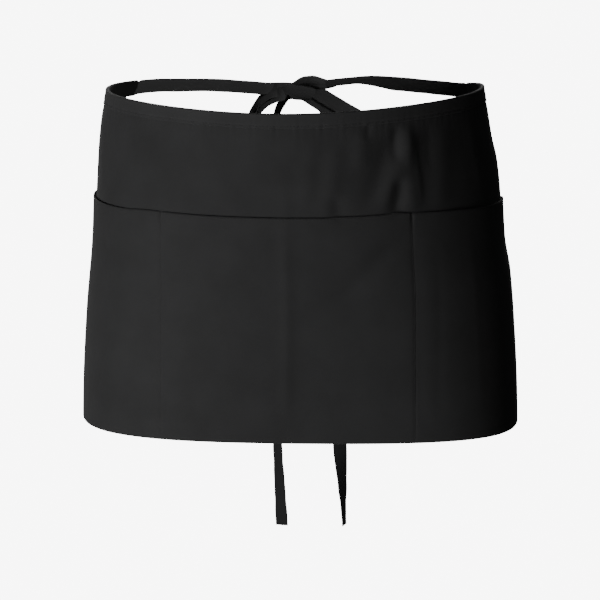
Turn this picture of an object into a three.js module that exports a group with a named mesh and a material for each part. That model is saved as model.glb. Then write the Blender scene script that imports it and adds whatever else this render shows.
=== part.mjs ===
// A short waist apron: one cloth panel with a full-width pouch pocket, a folded waistband,
// and two ties that run round the back to a bow with long hanging ends.
// Units are millimetres. +Z is up, the front of the apron faces -Y, and the origin is the
// middle of the waist opening, level with the middle of the waistband at the two sides.
import * as THREE from "three";

// Waist loop and hem, measured on the panel's middle surface
const WAIST_WIDTH = 343;
const WAIST_DEPTH = 262;
const HEM_WIDTH = 396;
const HEM_DEPTH = 296;
const HEM_OFFSET = 4.8;
const FRONT_DIP = 6;
const HEM_DIP = 1;
const BACK_SAG = 15.5;
const BAND_TILT = 1.5;
const HEM_TILT = -1.2;

// Cloth panel and pocket
const PANEL_WIDTH = 584;
const PANEL_DROP = 303;
const PANEL_TURN = -12;
const CLOTH = 1.2;
const POCKET_HEIGHT = 208;
const POCKET_GAPE = 1.4;
const DIVIDER_SPACING = 231;
const HEM_TURN_UP = 12;
const FOLD_DEPTH = 4.5;

// Waistband and ties
const BAND_HEIGHT = 14;
const BAND_CLOTH = 1;
const BAND_OVERRUN = 9;
const TIE_WIDTH = 13.5;
const TIE_CLOTH = 1.2;
const TIE_TUCK = 6;

// Bow
const KNOT_LENGTH = 40;
const KNOT_HEIGHT = 24;
const KNOT_DEPTH = 17;
const KNOT_SHIFT = 9;
const LOOP_LEFT_FALL = 66;
const LOOP_RIGHT_FALL = 60;
const LOOP_OPENING = 9;
const LOOP_SLACK = 0.15;
const TAIL_FALL = 417;

// Clearance between pieces that are sewn or tied together
const GAP = 0.3;

// Shares used in shaping: the rounding of a folded edge, the corner taken off a strap, the
// knot's rounding, how far the ties lie in front of the knot's middle, and a fold's fading
const EDGE_ROUNDING = 0.3;
const STRAP_CORNER = 0.35;
const KNOT_ROUNDING = 0.7;
const TIE_FORWARD = 0.19;
const FOLD_FADE = 0.25;

// The form from waist (drop 0) to hem (drop 1). flare and offset are shares of the way from
// the waist's sizes to the hem's; left and right are the exponents of the superellipse in plan
// on each side, 2 for an ellipse and more for a squarer corner.
const FORM = [
  { drop: 0.0, flare: 0.0, offset: 0.0, left: 2.0, right: 2.0 },
  { drop: 0.075, flare: 0.17, offset: 0.0, left: 2.0, right: 2.0 },
  { drop: 0.15, flare: 0.29, offset: 0.12, left: 2.1, right: 2.05 },
  { drop: 0.225, flare: 0.415, offset: 0.5, left: 2.2, right: 2.1 },
  { drop: 0.31, flare: 0.49, offset: 0.66, left: 2.4, right: 2.2 },
  { drop: 0.45, flare: 0.58, offset: 0.74, left: 2.5, right: 2.5 },
  { drop: 0.55, flare: 0.73, offset: 1.02, left: 2.6, right: 2.7 },
  { drop: 0.675, flare: 0.857, offset: 1.0, left: 2.7, right: 2.9 },
  { drop: 0.9, flare: 0.985, offset: 1.0, left: 2.9, right: 3.3 },
  { drop: 1.0, flare: 1.0, offset: 1.0, left: 3.0, right: 3.5 },
];

// How far each tie has sagged, as a share of BACK_SAG, from the side (0) to the back (1)
const SAG = [
  { round: 0, left: 0, right: 0 },
  { round: 0.3, left: 0.18, right: 0.45 },
  { round: 0.62, left: 0.46, right: 0.4 },
  { round: 0.81, left: 0.75, right: 0.64 },
  { round: 1, left: 1, right: 1 },
];

// Folds of the hanging cloth. high and low are a fold's place across the panel at its two
// ends, as shares of PANEL_WIDTH from the middle; from and to are shares of PANEL_DROP;
// width is a share of PANEL_WIDTH, and rise a share of FOLD_DEPTH, outwards.
const FOLDS = [
  { high: 0.199, low: 0.201, from: 0.05, to: 0.335, width: 0.016, rise: 0.6 },
  { high: 0.192, low: 0.145, from: 0.06, to: 0.31, width: 0.018, rise: 0.55 },
  { high: 0.168, low: 0.132, from: 0.06, to: 0.3, width: 0.02, rise: -0.5 },
  { high: 0.183, low: 0.172, from: 0.2, to: 0.33, width: 0.012, rise: -0.6 },
  { high: 0.218, low: 0.226, from: 0.06, to: 0.335, width: 0.018, rise: -0.45 },
  { high: 0.268, low: 0.246, from: 0.05, to: 0.335, width: 0.02, rise: 0.45 },
  { high: 0.125, low: 0.12, from: 0.05, to: 0.18, width: 0.014, rise: 0.3 },
  { high: 0.086, low: 0.062, from: 0.08, to: 0.335, width: 0.016, rise: 0.3 },
  { high: 0.075, low: 0.085, from: 0.24, to: 0.335, width: 0.014, rise: -0.3 },
  { high: -0.04, low: -0.06, from: 0.2, to: 0.42, width: 0.06, rise: -0.3 },
  { high: 0.19, low: 0.06, from: 0.36, to: 0.6, width: 0.03, rise: -0.35 },
  { high: 0.0, low: 0.0, from: 0.1, to: 0.99, width: 0.012, rise: 0.12 },
];

// Each tie from the band's end to the knot: its width as a share of TIE_WIDTH, and its layers.
// The left one curls in a little; the right one folds lengthwise as it nears the knot.
const TIE_LEFT_FORM = [
  { along: 0, width: 1, layers: 1 },
  { along: 0.2, width: 0.94, layers: 1 },
  { along: 1, width: 0.86, layers: 1 },
];
const TIE_RIGHT_FORM = [
  { along: 0, width: 1, layers: 1 },
  { along: 0.6, width: 1, layers: 1 },
  { along: 0.83, width: 0.5, layers: 2 },
  { along: 1, width: 0.5, layers: 2 },
];

// The knot from its left end to its right, as shares of its length, height and depth
const KNOT_FORM = [
  { along: -0.5, height: 0.48, depth: 0.62, lift: -0.03 },
  { along: -0.34, height: 0.62, depth: 0.8, lift: -0.02 },
  { along: -0.15, height: 0.86, depth: 1, lift: 0.03 },
  { along: 0, height: 0.99, depth: 1, lift: 0.046 },
  { along: 0.2, height: 1, depth: 1, lift: 0.048 },
  { along: 0.35, height: 0.83, depth: 0.85, lift: 0.083 },
  { along: 0.5, height: 0.48, depth: 0.62, lift: 0.177 },
];

// Routes of the loops' middles and of the hanging ends. Each point is counted from the knot's
// middle: right and back as shares of KNOT_LENGTH, up as a share of how far that loop or end
// hangs down. turn is the strap's turn about its own length, in degrees.
const LOOP_LEFT_ROUTE = [
  { right: -0.51, back: 0.055, up: 0.0076, turn: 0 },
  { right: -0.6375, back: 0.07, up: 0.0061, turn: 0 },
  { right: -0.8, back: 0.15, up: -0.053, turn: 20 },
  { right: -1.05, back: 0.225, up: -0.1667, turn: 55 },
  { right: -1.2625, back: 0.25, up: -0.3182, turn: 74 },
  { right: -1.4, back: 0.25, up: -0.6061, turn: 60 },
  { right: -1.475, back: 0.225, up: -1, turn: 30 },
];
const LOOP_RIGHT_ROUTE = [
  { right: 0.42, back: 0.0125, up: -0.1933, turn: 0 },
  { right: 0.5375, back: 0.025, up: -0.2433, turn: 0 },
  { right: 0.8, back: 0.05, up: -0.3567, turn: -3 },
  { right: 1.125, back: 0.075, up: -0.49, turn: -6 },
  { right: 1.525, back: 0.1, up: -0.6833, turn: -15 },
  { right: 1.925, back: 0.125, up: -1, turn: -25 },
];
const TAIL_LEFT_ROUTE = [
  { right: -0.565, back: 0.05, up: -0.0237, turn: 64 },
  { right: -0.655, back: 0.075, up: -0.0384, turn: 64 },
  { right: -0.7225, back: 0.1, up: -0.0576, turn: 64 },
  { right: -0.74, back: 0.1125, up: -0.1103, turn: 62 },
  { right: -0.75, back: 0.1125, up: -0.2398, turn: 62 },
  { right: -0.75, back: 0.1125, up: -0.4317, turn: 60 },
  { right: -0.735, back: 0.1125, up: -0.6235, turn: 58 },
  { right: -0.71, back: 0.1125, up: -0.8058, turn: 52 },
  { right: -0.66, back: 0.1125, up: -0.9017, turn: 42 },
  { right: -0.605, back: 0.1125, up: -1, turn: 32 },
];
const TAIL_RIGHT_ROUTE = [
  { right: 0.2875, back: 0.115, up: -0.0237, turn: -20 },
  { right: 0.3875, back: 0.19, up: -0.0408, turn: -22 },
  { right: 0.5375, back: 0.25, up: -0.0671, turn: -24 },
  { right: 0.675, back: 0.275, up: -0.1103, turn: -24 },
  { right: 0.7125, back: 0.225, up: -0.2398, turn: -18 },
  { right: 0.7125, back: 0.15, up: -0.4317, turn: -8 },
  { right: 0.725, back: 0.1125, up: -0.6235, turn: -4 },
  { right: 0.76, back: 0.1125, up: -0.8058, turn: -14 },
  { right: 0.8225, back: 0.1125, up: -0.9017, turn: -50 },
  { right: 0.8725, back: 0.1125, up: -1, turn: -74 },
];

// The way that each loop's two layers part
const LOOP_LEFT_PARTING = { right: 0, back: 1, up: 0 };
const LOOP_RIGHT_PARTING = { right: -0.45, back: 0.4, up: -0.8 };

// Numbers of steps in the faceted surfaces
const COLUMNS = [
  { from: -0.5, to: 0, steps: 16 },
  { from: 0, to: 0.3, steps: 22 },
  { from: 0.3, to: 0.5, steps: 8 },
];
const UPPER_ROWS = 9;
const POCKET_ROWS = 9;
const TIE_STEPS = 16;
const LOOP_STEPS = 34;
const LOOP_EASE = -0.6;
const TAIL_STEPS = 28;
const KNOT_STEPS = 14;
const KNOT_SIDES = 18;

const lerp = THREE.MathUtils.lerp;
const clamp = THREE.MathUtils.clamp;

// A column of a table at x, by a cubic that never overshoots its rows and is level at both ends
function tableAt(rows, key, column, x) {
  const last = rows.length - 1;
  const at = clamp(x, rows[0][key], rows[last][key]);
  let i = 0;
  while (i < last - 1 && at > rows[i + 1][key]) i += 1;
  const rate = (j) => (rows[j + 1][column] - rows[j][column]) / (rows[j + 1][key] - rows[j][key]);
  const slope = (j) => {
    if (j === 0 || j === last) return 0;
    const before = rate(j - 1);
    const after = rate(j);
    return before * after > 0 ? (2 * before * after) / (before + after) : 0;
  };
  const span = rows[i + 1][key] - rows[i][key];
  const t = (at - rows[i][key]) / span;
  const start = (1 + 2 * t) * (1 - t) ** 2 * rows[i][column] + t * (1 - t) ** 2 * span * slope(i);
  const end = t ** 2 * (3 - 2 * t) * rows[i + 1][column] - t ** 2 * (1 - t) * span * slope(i + 1);
  return start + end;
}

// The loop's plan at a height: r(turn) = (|sin/a|^n + |cos/b|^n)^(-1/n), turn 0 at the front
function planAt(share) {
  const flare = tableAt(FORM, "drop", "flare", share);
  return {
    halfWidth: lerp(WAIST_WIDTH, HEM_WIDTH, flare) / 2,
    halfDepth: lerp(WAIST_DEPTH, HEM_DEPTH, flare) / 2,
    offset: HEM_OFFSET * tableAt(FORM, "drop", "offset", share),
    left: tableAt(FORM, "drop", "left", share),
    right: tableAt(FORM, "drop", "right", share),
  };
}

function planPoint(plan, turn) {
  const squareness = turn < 0 ? plan.left : plan.right;
  const across = Math.abs(Math.sin(turn) / plan.halfWidth) ** squareness;
  const along = Math.abs(Math.cos(turn) / plan.halfDepth) ** squareness;
  const radius = (across + along) ** (-1 / squareness);
  return new THREE.Vector2(plan.offset + radius * Math.sin(turn), -radius * Math.cos(turn));
}

// Lengths round the plan from the front, for turning a length into an angle. The table runs a
// little past the back so that a tie can cross the middle there.
const TURN_STEPS = 900;
const TURN_LIMIT = 1.25 * Math.PI;
const measuredPlans = new Map();

function lengthsRound(plan, side) {
  const lengths = [0];
  let before = planPoint(plan, 0);
  for (let i = 1; i <= TURN_STEPS; i += 1) {
    const point = planPoint(plan, (side * TURN_LIMIT * i) / TURN_STEPS);
    lengths.push(lengths[i - 1] + point.distanceTo(before));
    before = point;
  }
  return lengths;
}

function measuredPlan(share) {
  const key = share.toFixed(5);
  if (!measuredPlans.has(key)) {
    const plan = planAt(share);
    measuredPlans.set(key, {
      plan,
      left: lengthsRound(plan, -1),
      right: lengthsRound(plan, 1),
    });
  }
  return measuredPlans.get(key);
}

function turnAt(share, round) {
  const { left, right } = measuredPlan(share);
  const lengths = round < 0 ? left : right;
  const wanted = Math.abs(round);
  let low = 0;
  let high = TURN_STEPS;
  while (high - low > 1) {
    const middle = (low + high) >> 1;
    if (lengths[middle] <= wanted) low = middle;
    else high = middle;
  }
  const part = (wanted - lengths[low]) / (lengths[high] - lengths[low]);
  return (Math.sign(round) * TURN_LIMIT * (low + part)) / TURN_STEPS;
}

const halfLoop = measuredPlan(0).right[Math.round((TURN_STEPS * Math.PI) / TURN_LIMIT)];

// Height of the cloth's line round the loop, level at the two sides. The band dips at the front
// and the ties sag towards the knot; the hem below hangs level but for its own tilt.
function lineHeight(round, share) {
  const turn = turnAt(0, round);
  const forward = Math.cos(turn);
  const tilt = lerp(BAND_TILT, HEM_TILT, share) * Math.sin(turn);
  if (forward >= 0) return tilt - lerp(FRONT_DIP, HEM_DIP, share) * forward ** 2;
  const side = Math.sin(turn) < 0 ? "left" : "right";
  const toBack = Math.asin(Math.min(-forward, 1)) / (Math.PI / 2);
  return tilt - BACK_SAG * tableAt(SAG, "round", side, toBack);
}

function smooth(low, high, x) {
  const t = clamp((x - low) / (high - low), 0, 1);
  return t * t * (3 - 2 * t);
}

// How far the folds push the cloth outwards at a place on the panel: a sum of bell curves
// whose middles slant from high to low, each faded in and out along its length
function foldRise(round, drop) {
  const across = (round - PANEL_TURN) / PANEL_WIDTH;
  const down = drop / PANEL_DROP;
  let rise = 0;
  for (const fold of FOLDS) {
    const t = (down - fold.from) / (fold.to - fold.from);
    if (t <= 0 || t >= 1) continue;
    const middle = lerp(fold.high, fold.low, t);
    const bell = Math.exp(-(((across - middle) / fold.width) ** 2));
    rise += fold.rise * bell * smooth(0, FOLD_FADE, t) * smooth(0, FOLD_FADE, 1 - t);
  }
  return FOLD_DEPTH * rise;
}

// A point of the middle surface, round mm from the front and drop mm below the top edge
function middlePoint(round, drop) {
  const share = clamp(drop / PANEL_DROP, 0, 1);
  const { plan } = measuredPlan(share);
  const turn = turnAt(share, round);
  const point = planPoint(plan, turn);
  const ahead = planPoint(plan, turn + 0.002).sub(planPoint(plan, turn - 0.002)).normalize();
  const rise = foldRise(round, drop);
  const height = BAND_HEIGHT / 2 + lineHeight(round, share) - drop;
  return new THREE.Vector3(point.x + ahead.y * rise, point.y - ahead.x * rise, height);
}

function outwardAt(round, drop) {
  const step = 0.5;
  const along = middlePoint(round + step, drop).sub(middlePoint(round - step, drop));
  const down = middlePoint(round, drop + step).sub(middlePoint(round, Math.max(drop - step, 0)));
  return along.cross(down).normalize().negate();
}

// The same point, moved out mm along the outward normal
function clothPoint(round, drop, out) {
  return middlePoint(round, drop).addScaledVector(outwardAt(round, drop), out);
}

// A closed solid from rings of points, skinned from one to the next and capped at both ends.
// Each ring is a strip: the first half runs along one face, the second half back the other.
// The two halves cut their squares along the same diagonal, so layers of cloth lie parallel.
function skin(rings) {
  const count = rings[0].length;
  const positions = rings.flat().flatMap((point) => [point.x, point.y, point.z]);
  const faces = [];
  for (let i = 0; i < rings.length - 1; i += 1) {
    for (let j = 0; j < count; j += 1) {
      const a = i * count + j;
      const b = i * count + ((j + 1) % count);
      if (j < count / 2) faces.push(a, b, b + count, a, b + count, a + count);
      else faces.push(a, b, a + count, b, b + count, a + count);
    }
  }
  const end = (rings.length - 1) * count;
  for (let j = 0; j < count / 2 - 1; j += 1) {
    const k = count - 1 - j;
    faces.push(j, k, j + 1, j + 1, k, k - 1);
    faces.push(end + j, end + j + 1, end + k, end + j + 1, end + k - 1, end + k);
  }
  return solidOf(positions, faces);
}

// Faces are turned outwards here, so a ring may run either way round
function solidOf(positions, faces) {
  let volume = 0;
  const corner = (i) => new THREE.Vector3().fromArray(positions, 3 * i);
  for (let i = 0; i < faces.length; i += 3) {
    volume += corner(faces[i]).dot(corner(faces[i + 1]).cross(corner(faces[i + 2])));
  }
  if (volume < 0) faces.reverse();
  const geometry = new THREE.BufferGeometry();
  geometry.setAttribute("position", new THREE.Float32BufferAttribute(positions, 3));
  geometry.setIndex(faces);
  geometry.computeVertexNormals();
  return geometry;
}

// A cloth strip: at each place round the loop, pairs of outer and inner points down the cloth
function clothStrip(places, pairsAt) {
  return skin(
    places.map((round) => {
      const pairs = pairsAt(round);
      const outer = pairs.map((pair) => clothPoint(round, pair.outerDrop, pair.outer));
      const inner = pairs.map((pair) => clothPoint(round, pair.innerDrop, pair.inner));
      return [...outer, ...inner.reverse()];
    })
  );
}

function steps(count) {
  return Array.from({ length: count + 1 }, (_, i) => i / count);
}

const panelPlaces = COLUMNS.flatMap(({ from, to, steps: count }, i) =>
  steps(count)
    .slice(i === 0 ? 0 : 1)
    .map((t) => PANEL_TURN + PANEL_WIDTH * lerp(from, to, t))
);
const panelLeft = panelPlaces[0];
const panelRight = panelPlaces[panelPlaces.length - 1];

// Band: an upside-down U of cloth over the top of the panel, run on past its sides
const channel = Math.max(CLOTH, TIE_CLOTH) / 2 + GAP;
const bandOut = channel + BAND_CLOTH;
const underBand = BAND_CLOTH + GAP;

function bandPairs() {
  const level = (1 - EDGE_ROUNDING) * bandOut;
  const rounded = EDGE_ROUNDING * BAND_CLOTH;
  return [
    { outer: bandOut, outerDrop: BAND_HEIGHT, inner: channel, innerDrop: BAND_HEIGHT },
    { outer: bandOut, outerDrop: rounded, inner: channel, innerDrop: BAND_CLOTH },
    { outer: level, outerDrop: 0, inner: channel / 2, innerDrop: BAND_CLOTH },
    { outer: -level, outerDrop: 0, inner: -channel / 2, innerDrop: BAND_CLOTH },
    { outer: -bandOut, outerDrop: rounded, inner: -channel, innerDrop: BAND_CLOTH },
    { outer: -bandOut, outerDrop: BAND_HEIGHT, inner: -channel, innerDrop: BAND_HEIGHT },
  ];
}

const tuckStart = BAND_OVERRUN - TIE_TUCK;
const bandPlaces = [
  panelLeft - BAND_OVERRUN,
  panelLeft - tuckStart,
  ...panelPlaces,
  panelRight + tuckStart,
  panelRight + BAND_OVERRUN,
];
const waistband = clothStrip(bandPlaces, bandPairs);

// Panel: a flat rectangle of cloth, caught in the band above and in the pocket's fold below
const mouthDrop = PANEL_DROP - POCKET_HEIGHT;
const panelBottom = PANEL_DROP - CLOTH - GAP;

function panelPairs() {
  const upper = steps(UPPER_ROWS).map((t) => lerp(underBand, mouthDrop, t));
  const lower = steps(POCKET_ROWS).map((t) => lerp(mouthDrop, panelBottom, t));
  return [...upper, ...lower.slice(1)].map((drop) => ({
    outer: CLOTH / 2,
    outerDrop: drop,
    inner: -CLOTH / 2,
    innerDrop: drop,
  }));
}

const apronPanel = clothStrip(panelPlaces, panelPairs);

// Pocket: sewn to the panel at its sides and two dividers, gaping a little between them, with
// its lower end folded round the panel's bottom edge and turned up inside
const seams = [-PANEL_WIDTH / 2, -DIVIDER_SPACING / 2, DIVIDER_SPACING / 2, PANEL_WIDTH / 2];

function gapeAt(round, down) {
  const across = clamp(round - PANEL_TURN, seams[0], seams[3]);
  const i = across < seams[1] ? 0 : across < seams[2] ? 1 : 2;
  const between = (across - seams[i]) / (seams[i + 1] - seams[i]);
  const bulge = Math.max(Math.sin(Math.PI * between), 0) ** 0.6;
  return POCKET_GAPE * bulge * (1 - down) ** 2;
}

function pocketPairs(round) {
  const seat = CLOTH / 2 + GAP;
  const wall = steps(POCKET_ROWS).map((t) => {
    const drop = lerp(mouthDrop, panelBottom, t);
    const inner = seat + gapeAt(round, t);
    return { outer: inner + CLOTH, outerDrop: drop, inner, innerDrop: drop };
  });
  const out = seat + CLOTH;
  const inside = panelBottom + GAP;
  const turnUp = panelBottom - HEM_TURN_UP;
  const level = (1 - EDGE_ROUNDING) * out;
  const rounded = PANEL_DROP - EDGE_ROUNDING * CLOTH;
  return [
    ...wall,
    { outer: out, outerDrop: rounded, inner: seat, innerDrop: inside },
    { outer: level, outerDrop: PANEL_DROP, inner: seat / 2, innerDrop: inside },
    { outer: -level, outerDrop: PANEL_DROP, inner: -seat / 2, innerDrop: inside },
    { outer: -out, outerDrop: rounded, inner: -seat, innerDrop: inside },
    { outer: -out, outerDrop: turnUp, inner: -seat, innerDrop: turnUp },
  ];
}

const pocketPanel = clothStrip(panelPlaces, pocketPairs);

// The knot's middle, which the ties, loops and hanging ends all work from
const knotRound = halfLoop - KNOT_SHIFT;
const knotReach = KNOT_LENGTH / 2 + GAP;
const strapMiddle = underBand + TIE_WIDTH / 2;
const knotMiddle = clothPoint(knotRound, strapMiddle, TIE_FORWARD * KNOT_DEPTH);

// Ties: each starts in the end of the band's channel, follows the loop round, and is cut
// square where it meets the knot's flat end
function tieStrip(tucked, start, end, faceX, form) {
  const rings = [tucked, ...steps(TIE_STEPS).map((t) => lerp(start, end, t))].map((round) => {
    const t = clamp((round - start) / (end - start), 0, 1);
    const width = TIE_WIDTH * tableAt(form, "along", "width", t);
    const out = (TIE_CLOTH / 2) * tableAt(form, "along", "layers", t);
    return [
      clothPoint(round, underBand, out),
      clothPoint(round, underBand + width, out),
      clothPoint(round, underBand + width, -out),
      clothPoint(round, underBand, -out),
    ];
  });
  for (const point of rings[rings.length - 1]) point.x = faceX;
  return skin(rings);
}

const tieLeft = tieStrip(
  panelLeft - tuckStart,
  panelLeft - BAND_OVERRUN,
  knotRound + knotReach - 2 * halfLoop,
  knotMiddle.x - knotReach,
  TIE_LEFT_FORM
);
const tieRight = tieStrip(
  panelRight + tuckStart,
  panelRight + BAND_OVERRUN,
  knotRound - knotReach,
  knotMiddle.x + knotReach,
  TIE_RIGHT_FORM
);

// Knot: a lump with a rounded-square section, whose flat ends take the ties and the loops
function knotSolid() {
  const power = (value) => Math.sign(value) * Math.abs(value) ** KNOT_ROUNDING;
  const rings = steps(KNOT_STEPS).map((t) => {
    const along = t - 0.5;
    const height = (KNOT_HEIGHT / 2) * tableAt(KNOT_FORM, "along", "height", along);
    const depth = (KNOT_DEPTH / 2) * tableAt(KNOT_FORM, "along", "depth", along);
    const lift = KNOT_HEIGHT * tableAt(KNOT_FORM, "along", "lift", along);
    return Array.from({ length: KNOT_SIDES }, (_, j) => {
      const turn = (2 * Math.PI * (j + 0.5)) / KNOT_SIDES;
      return new THREE.Vector3(
        knotMiddle.x + along * KNOT_LENGTH,
        knotMiddle.y + depth * power(Math.cos(turn)),
        knotMiddle.z + lift + height * power(Math.sin(turn))
      );
    });
  });
  return skin(rings);
}

// A strap along a route: stations hold a middle, the direction across the strap and the
// direction through it; the section is a flat bar with its corners taken off
function strapRings(stations) {
  const half = TIE_WIDTH / 2;
  const thick = TIE_CLOTH / 2;
  const corner = STRAP_CORNER * TIE_CLOTH;
  const section = [
    [half - corner, thick],
    [half, thick - corner],
    [half, corner - thick],
    [half - corner, -thick],
    [corner - half, -thick],
    [-half, corner - thick],
    [-half, thick - corner],
    [corner - half, thick],
  ];
  const order = [7, 0, 1, 2, 3, 4, 5, 6];
  return stations.map(({ middle, across, through }) =>
    order.map((i) =>
      middle.clone().addScaledVector(across, section[i][0]).addScaledVector(through, section[i][1])
    )
  );
}

function routeCurve(route, fall) {
  const points = route.map(({ right, back, up }) =>
    new THREE.Vector3(right * KNOT_LENGTH, back * KNOT_LENGTH, up * fall).add(knotMiddle)
  );
  return new THREE.CatmullRomCurve3(points, false, "centripetal");
}

function turnOn(route, t) {
  const rows = route.map((row, i) => ({ at: i / (route.length - 1), turn: row.turn }));
  return THREE.MathUtils.degToRad(tableAt(rows, "at", "turn", t));
}

// The direction across a strap that faces the front, turned about the strap's own length
function acrossAt(along, turn) {
  const facing = new THREE.Vector3(0, -1, 0);
  const across = new THREE.Vector3().crossVectors(along, facing).normalize();
  return across.applyAxisAngle(along, turn);
}

// A hanging end: the strap's middle follows the route
function tailSolid(route) {
  const curve = routeCurve(route, TAIL_FALL);
  const stations = steps(TAIL_STEPS).map((t) => {
    const along = curve.getTangent(t);
    const across = acrossAt(along, turnOn(route, t));
    return {
      middle: curve.getPoint(t),
      across,
      through: new THREE.Vector3().crossVectors(along, across).normalize(),
    };
  });
  return skin(strapRings(stations));
}

// A bow loop: out along the route and back again. With u from 0 to 1, the place along the
// route is (1 - cos 2 pi u) / 2. The two layers lie on each other where they leave the knot
// and part along a given direction, by sin(2 pi u) sin(pi u) times LOOP_OPENING.
function loopSolid(route, fall, parting, squared) {
  const curve = routeCurve(route, fall);
  const layer = (TIE_CLOTH + GAP) / 2 + LOOP_SLACK;
  const parted = new THREE.Vector3(parting.right, parting.back, parting.up);
  const middleAt = (u) => {
    const t = (1 - Math.cos(2 * Math.PI * u)) / 2;
    const along = curve.getTangent(t);
    const across = acrossAt(along, turnOn(route, t));
    const through = new THREE.Vector3().crossVectors(along, across).normalize();
    const opening = LOOP_OPENING * Math.sin(2 * Math.PI * u) * Math.sin(Math.PI * u);
    const middle = curve.getPoint(t).addScaledVector(through, layer * Math.cos(Math.PI * u));
    return { middle: middle.addScaledVector(parted, opening), across };
  };
  const stations = steps(LOOP_STEPS).map((even) => {
    const u = even - (LOOP_EASE * Math.sin(4 * Math.PI * even)) / (4 * Math.PI);
    const { middle, across } = middleAt(u);
    const before = middleAt(Math.max(u - 0.004, 0)).middle;
    const after = middleAt(Math.min(u + 0.004, 1)).middle;
    const along = after.sub(before).normalize();
    const through = new THREE.Vector3().crossVectors(along, across).normalize();
    return { middle, across: new THREE.Vector3().crossVectors(through, along), through };
  });
  const rings = strapRings(stations);
  if (squared) {
    const faceX = knotMiddle.x + Math.sign(route[0].right) * knotReach;
    for (const point of [...rings[0], ...rings[rings.length - 1]]) point.x = faceX;
  }
  return skin(rings);
}

// Materials: black cotton twill, and the same cloth made up into band and ties
function cloth(color, roughness) {
  return new THREE.MeshStandardMaterial({ color, roughness, metalness: 0 });
}

const loopLeft = loopSolid(LOOP_LEFT_ROUTE, LOOP_LEFT_FALL, LOOP_LEFT_PARTING, true);
const loopRight = loopSolid(LOOP_RIGHT_ROUTE, LOOP_RIGHT_FALL, LOOP_RIGHT_PARTING, false);

const apron = new THREE.Group();

function addPiece(name, geometry, material) {
  const mesh = new THREE.Mesh(geometry, material);
  mesh.name = name;
  apron.add(mesh);
}

addPiece("apron_panel", apronPanel, cloth(0x1b1b1d, 0.9));
addPiece("pocket_panel", pocketPanel, cloth(0x1c1c1e, 0.9));
addPiece("waistband", waistband, cloth(0x1f1f21, 0.88));
addPiece("tie_left", tieLeft, cloth(0x161617, 0.9));
addPiece("tie_right", tieRight, cloth(0x161617, 0.9));
addPiece("bow_knot", knotSolid(), cloth(0x151516, 0.9));
addPiece("bow_loop_left", loopLeft, cloth(0x161617, 0.9));
addPiece("bow_loop_right", loopRight, cloth(0x161617, 0.9));
addPiece("tie_end_left", tailSolid(TAIL_LEFT_ROUTE), cloth(0x161617, 0.9));
addPiece("tie_end_right", tailSolid(TAIL_RIGHT_ROUTE), cloth(0x161617, 0.9));

export default apron;
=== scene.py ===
# %% [markdown]
# # A black waist apron
#
# The object is a short apron of black twill, the kind that table staff wear. One rectangle of
# cloth hangs from a narrow band, a second rectangle is sewn over its lower part as a pouch
# pocket, and two ties run round the back to a bow. It keeps its worn shape, open at the waist.
#
# Each piece is a surface worked out from two numbers: how far round the waist a point lies and
# how far below the top edge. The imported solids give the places, and the detail goes on here.

# %% Load the frame
import math

import bpy
import numpy as np
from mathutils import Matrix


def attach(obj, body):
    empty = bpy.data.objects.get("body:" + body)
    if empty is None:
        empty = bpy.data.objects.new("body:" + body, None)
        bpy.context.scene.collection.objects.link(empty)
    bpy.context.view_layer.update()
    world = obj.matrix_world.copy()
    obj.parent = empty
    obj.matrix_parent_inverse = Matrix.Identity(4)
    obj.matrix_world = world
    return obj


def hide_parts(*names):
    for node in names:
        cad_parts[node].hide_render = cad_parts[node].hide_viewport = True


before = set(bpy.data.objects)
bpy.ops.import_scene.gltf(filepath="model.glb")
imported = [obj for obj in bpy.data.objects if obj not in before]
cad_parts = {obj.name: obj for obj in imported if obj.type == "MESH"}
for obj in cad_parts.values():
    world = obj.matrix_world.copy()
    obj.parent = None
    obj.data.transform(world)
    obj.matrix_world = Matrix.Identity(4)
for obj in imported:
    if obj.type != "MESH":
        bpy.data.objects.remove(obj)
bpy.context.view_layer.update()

MM = 0.001
print("solids:", sorted(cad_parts))

# %% [markdown]
# ## The camera
#
# The photograph looks down a little, from far away, so that the waist shows as a thin ellipse.
# A long lens from six metres gives that flat view. The lens follows from the width in view.

# %% Camera
TARGET = np.array([4.6, 0.0, -191.5])
CAMERA_DISTANCE = 6000.0
CAMERA_LIFT = math.radians(10.0)
VIEW_WIDTH = 552.0

camera_data = bpy.data.cameras.new("photo_camera")
camera_data.sensor_width = 36.0
camera_data.lens = 36.0 * CAMERA_DISTANCE / VIEW_WIDTH
camera_data.clip_end = 40.0
camera = bpy.data.objects.new("photo_camera", camera_data)
away = np.array([0.0, -math.cos(CAMERA_LIFT), math.sin(CAMERA_LIFT)])
camera.location = (TARGET + CAMERA_DISTANCE * away) * MM
camera.rotation_euler = (math.pi / 2 - CAMERA_LIFT, 0.0, 0.0)
bpy.context.scene.collection.objects.link(camera)
bpy.context.scene.camera = camera
print("lens", round(camera_data.lens, 1), "mm")

# %% [markdown]
# ## The form of the hanging cloth
#
# A worn apron follows a tapered tube: an oval at the waist that widens and squares off towards
# the hem. It could be draped by a cloth simulation, but the tube is known, so a formula is
# steadier. The tables give the oval's growth, the sag of the ties and the folds. They follow
# the solids' own, with a few of the folds made finer here.

# %% Sizes, in millimetres
WAIST_WIDTH, WAIST_DEPTH = 343.0, 262.0
HEM_WIDTH, HEM_DEPTH, HEM_OFFSET = 396.0, 296.0, 4.8
FRONT_DIP, HEM_DIP, BACK_SAG = 6.0, 1.0, 15.5
BAND_TILT, HEM_TILT = 1.5, -1.2
PANEL_WIDTH, PANEL_DROP, PANEL_TURN = 584.0, 303.0, -12.0
POCKET_HEIGHT, POCKET_GAPE, DIVIDER_SPACING = 208.0, 1.4, 231.0
BAND_HEIGHT, BAND_OVERRUN, TIE_WIDTH = 14.0, 9.0, 13.5
FOLD_DEPTH = 4.5

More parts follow.
